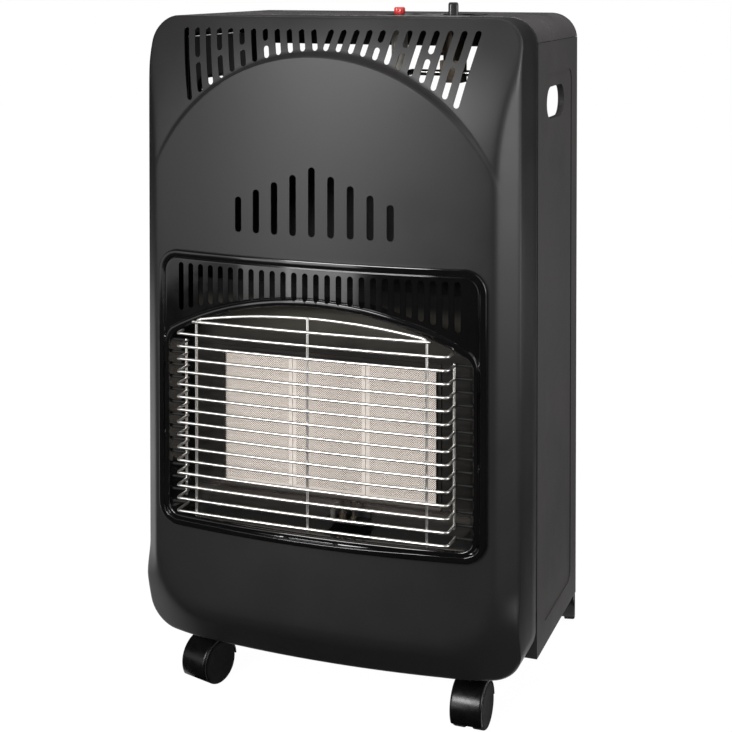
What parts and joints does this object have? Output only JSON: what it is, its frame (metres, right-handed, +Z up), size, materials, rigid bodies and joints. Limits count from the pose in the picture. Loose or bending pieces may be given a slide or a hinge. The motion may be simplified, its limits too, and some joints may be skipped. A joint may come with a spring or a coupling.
{
  "type": "cabinet gas heater",
  "caption": "Mobile cabinet gas heater with a bowed vented front, ceramic plaque burner behind a wire guard, top controls and twin-wheel castors.",
  "frame": {"origin": "centre of the overall bounding box, on the floor under the wheels", "axes": "+Z up, the burner faces -Y, +X is the heater's left hand side seen from behind"},
  "size_m": [0.42, 0.4432, 0.755],
  "materials": {
    "enamel": "satin bronze-black enamel with a slow metallic sheen",
    "gloss_black": "gloss black enamel",
    "chrome_wire": "bright plated wire",
    "panel_paint": "fine satin powder coat",
    "cover_paint": "satin powder coat",
    "black_paint": "matt black paint",
    "bare_steel": "plain rolled steel sheet and tube",
    "reflector_steel": "heat-stained steel",
    "brass": "turned brass",
    "knob_plastic": "black moulded plastic",
    "button_plastic": "red moulded plastic",
    "pan_plastic": "black moulded plastic",
    "igniter_plastic": "off-white moulded plastic",
    "plaque_ceramic": "fine perforated fired ceramic",
    "castor_plastic": "black moulded nylon",
    "castor_steel": "plated steel"
  },
  "bodies": {
    "cabinet": {"front_housing": "enamel", "surround": "gloss_black", "wire_guard": "chrome_wire", "top_cover": "cover_paint", "side_panel_left": "panel_paint", "side_panel_right": "panel_paint", "rear_rail": "black_paint", "base_tray": "black_paint", "heat_shield": "bare_steel", "control_pan": "pan_plastic", "gas_valve": "brass", "igniter_body": "igniter_plastic", "feed_pipe": "bare_steel", "inlet_pipe": "bare_steel", "gas_inlet": "brass", "manifold": "bare_steel", "manifold_bracket": "bare_steel", "injectors": "brass", "burner_chamber_left": "bare_steel", "burner_chamber_middle": "bare_steel", "burner_chamber_right": "bare_steel", "ceramic_plaque_left": "plaque_ceramic", "ceramic_plaque_middle": "plaque_ceramic", "ceramic_plaque_right": "plaque_ceramic", "plaque_frame": "bare_steel", "reflector": "reflector_steel", "pilot_bracket": "bare_steel", "pilot_burner": "brass", "thermocouple": "brass", "spark_electrode": "plaque_ceramic", "castor_sockets": "castor_steel"},
    "rear_cover": {"rear_cover": "black_paint"},
    "igniter_button": {"igniter_button": "button_plastic"},
    "press_collar": {"valve_collar": "bare_steel"},
    "knob": {"valve_spindle": "brass", "control_knob": "knob_plastic"},
    "castor_fl": {"castor_hood_fl": "castor_plastic", "castor_stem_fl": "castor_steel", "castor_axle_fl": "castor_steel"},
    "wheel_fl_a": {"castor_wheel_fl_a": "castor_plastic"},
    "wheel_fl_b": {"castor_wheel_fl_b": "castor_plastic"},
    "castor_fr": {"castor_hood_fr": "castor_plastic", "castor_stem_fr": "castor_steel", "castor_axle_fr": "castor_steel"},
    "wheel_fr_a": {"castor_wheel_fr_a": "castor_plastic"},
    "wheel_fr_b": {"castor_wheel_fr_b": "castor_plastic"},
    "castor_rl": {"castor_hood_rl": "castor_plastic", "castor_stem_rl": "castor_steel", "castor_axle_rl": "castor_steel"},
    "wheel_rl_a": {"castor_wheel_rl_a": "castor_plastic"},
    "wheel_rl_b": {"castor_wheel_rl_b": "castor_plastic"},
    "castor_rr": {"castor_hood_rr": "castor_plastic", "castor_stem_rr": "castor_steel", "castor_axle_rr": "castor_steel"},
    "wheel_rr_a": {"castor_wheel_rr_a": "castor_plastic"},
    "wheel_rr_b": {"castor_wheel_rr_b": "castor_plastic"}
  },
  "joints": [
    {"name": "rear_cover_lift", "type": "slide", "parent": "cabinet", "child": "rear_cover", "axis": [0, 0, 1], "range_m": [0, 0.06]},
    {"name": "igniter_press", "type": "slide", "parent": "cabinet", "child": "igniter_button", "axis": [0, 0, -1], "range_m": [0, 0.006], "stiffness_N_per_m": 400, "springref_m": -0.004},
    {"name": "knob_press", "type": "slide", "parent": "cabinet", "child": "press_collar", "axis": [0, 0, -1], "range_m": [0, 0.003], "stiffness_N_per_m": 1200, "springref_m": -0.003},
    {"name": "knob_turn", "type": "hinge", "parent": "press_collar", "child": "knob", "pos_m": [0.106, -0.0564, 0.745], "axis": [0, 0, 1], "range_deg": [0, 225]},
    {"name": "castor_fl_swivel", "type": "hinge", "parent": "cabinet", "child": "castor_fl", "pos_m": [-0.15, -0.1154, 0.06], "axis": [0, 0, 1], "continuous": true},
    {"name": "castor_fl_wheel_a_spin", "type": "hinge", "parent": "castor_fl", "child": "wheel_fl_a", "pos_m": [-0.15463, -0.12967, 0.024], "axis": [0.9511, -0.309, 0], "continuous": true},
    {"name": "castor_fl_wheel_b_spin", "type": "hinge", "parent": "castor_fl", "child": "wheel_fl_b", "pos_m": [-0.15463, -0.12967, 0.024], "axis": [0.9511, -0.309, 0], "continuous": true},
    {"name": "castor_fr_swivel", "type": "hinge", "parent": "cabinet", "child": "castor_fr", "pos_m": [0.15, -0.1154, 0.06], "axis": [0, 0, 1], "continuous": true},
    {"name": "castor_fr_wheel_a_spin", "type": "hinge", "parent": "castor_fr", "child": "wheel_fr_a", "pos_m": [0.15, -0.1304, 0.024], "axis": [1, 0, 0], "continuous": true},
    {"name": "castor_fr_wheel_b_spin", "type": "hinge", "parent": "castor_fr", "child": "wheel_fr_b", "pos_m": [0.15, -0.1304, 0.024], "axis": [1, 0, 0], "continuous": true},
    {"name": "castor_rl_swivel", "type": "hinge", "parent": "cabinet", "child": "castor_rl", "pos_m": [-0.172, 0.1816, 0.06], "axis": [0, 0, 1], "continuous": true},
    {"name": "castor_rl_wheel_a_spin", "type": "hinge", "parent": "castor_rl", "child": "wheel_rl_a", "pos_m": [-0.172, 0.1666, 0.024], "axis": [1, 0, 0], "continuous": true},
    {"name": "castor_rl_wheel_b_spin", "type": "hinge", "parent": "castor_rl", "child": "wheel_rl_b", "pos_m": [-0.172, 0.1666, 0.024], "axis": [1, 0, 0], "continuous": true},
    {"name": "castor_rr_swivel", "type": "hinge", "parent": "cabinet", "child": "castor_rr", "pos_m": [0.172, 0.1816, 0.06], "axis": [0, 0, 1], "continuous": true},
    {"name": "castor_rr_wheel_a_spin", "type": "hinge", "parent": "castor_rr", "child": "wheel_rr_a", "pos_m": [0.17537, 0.16698, 0.024], "axis": [0.9744, 0.225, 0], "continuous": true},
    {"name": "castor_rr_wheel_b_spin", "type": "hinge", "parent": "castor_rr", "child": "wheel_rr_b", "pos_m": [0.17537, 0.16698, 0.024], "axis": [0.9744, 0.225, 0], "continuous": true}
  ]
}
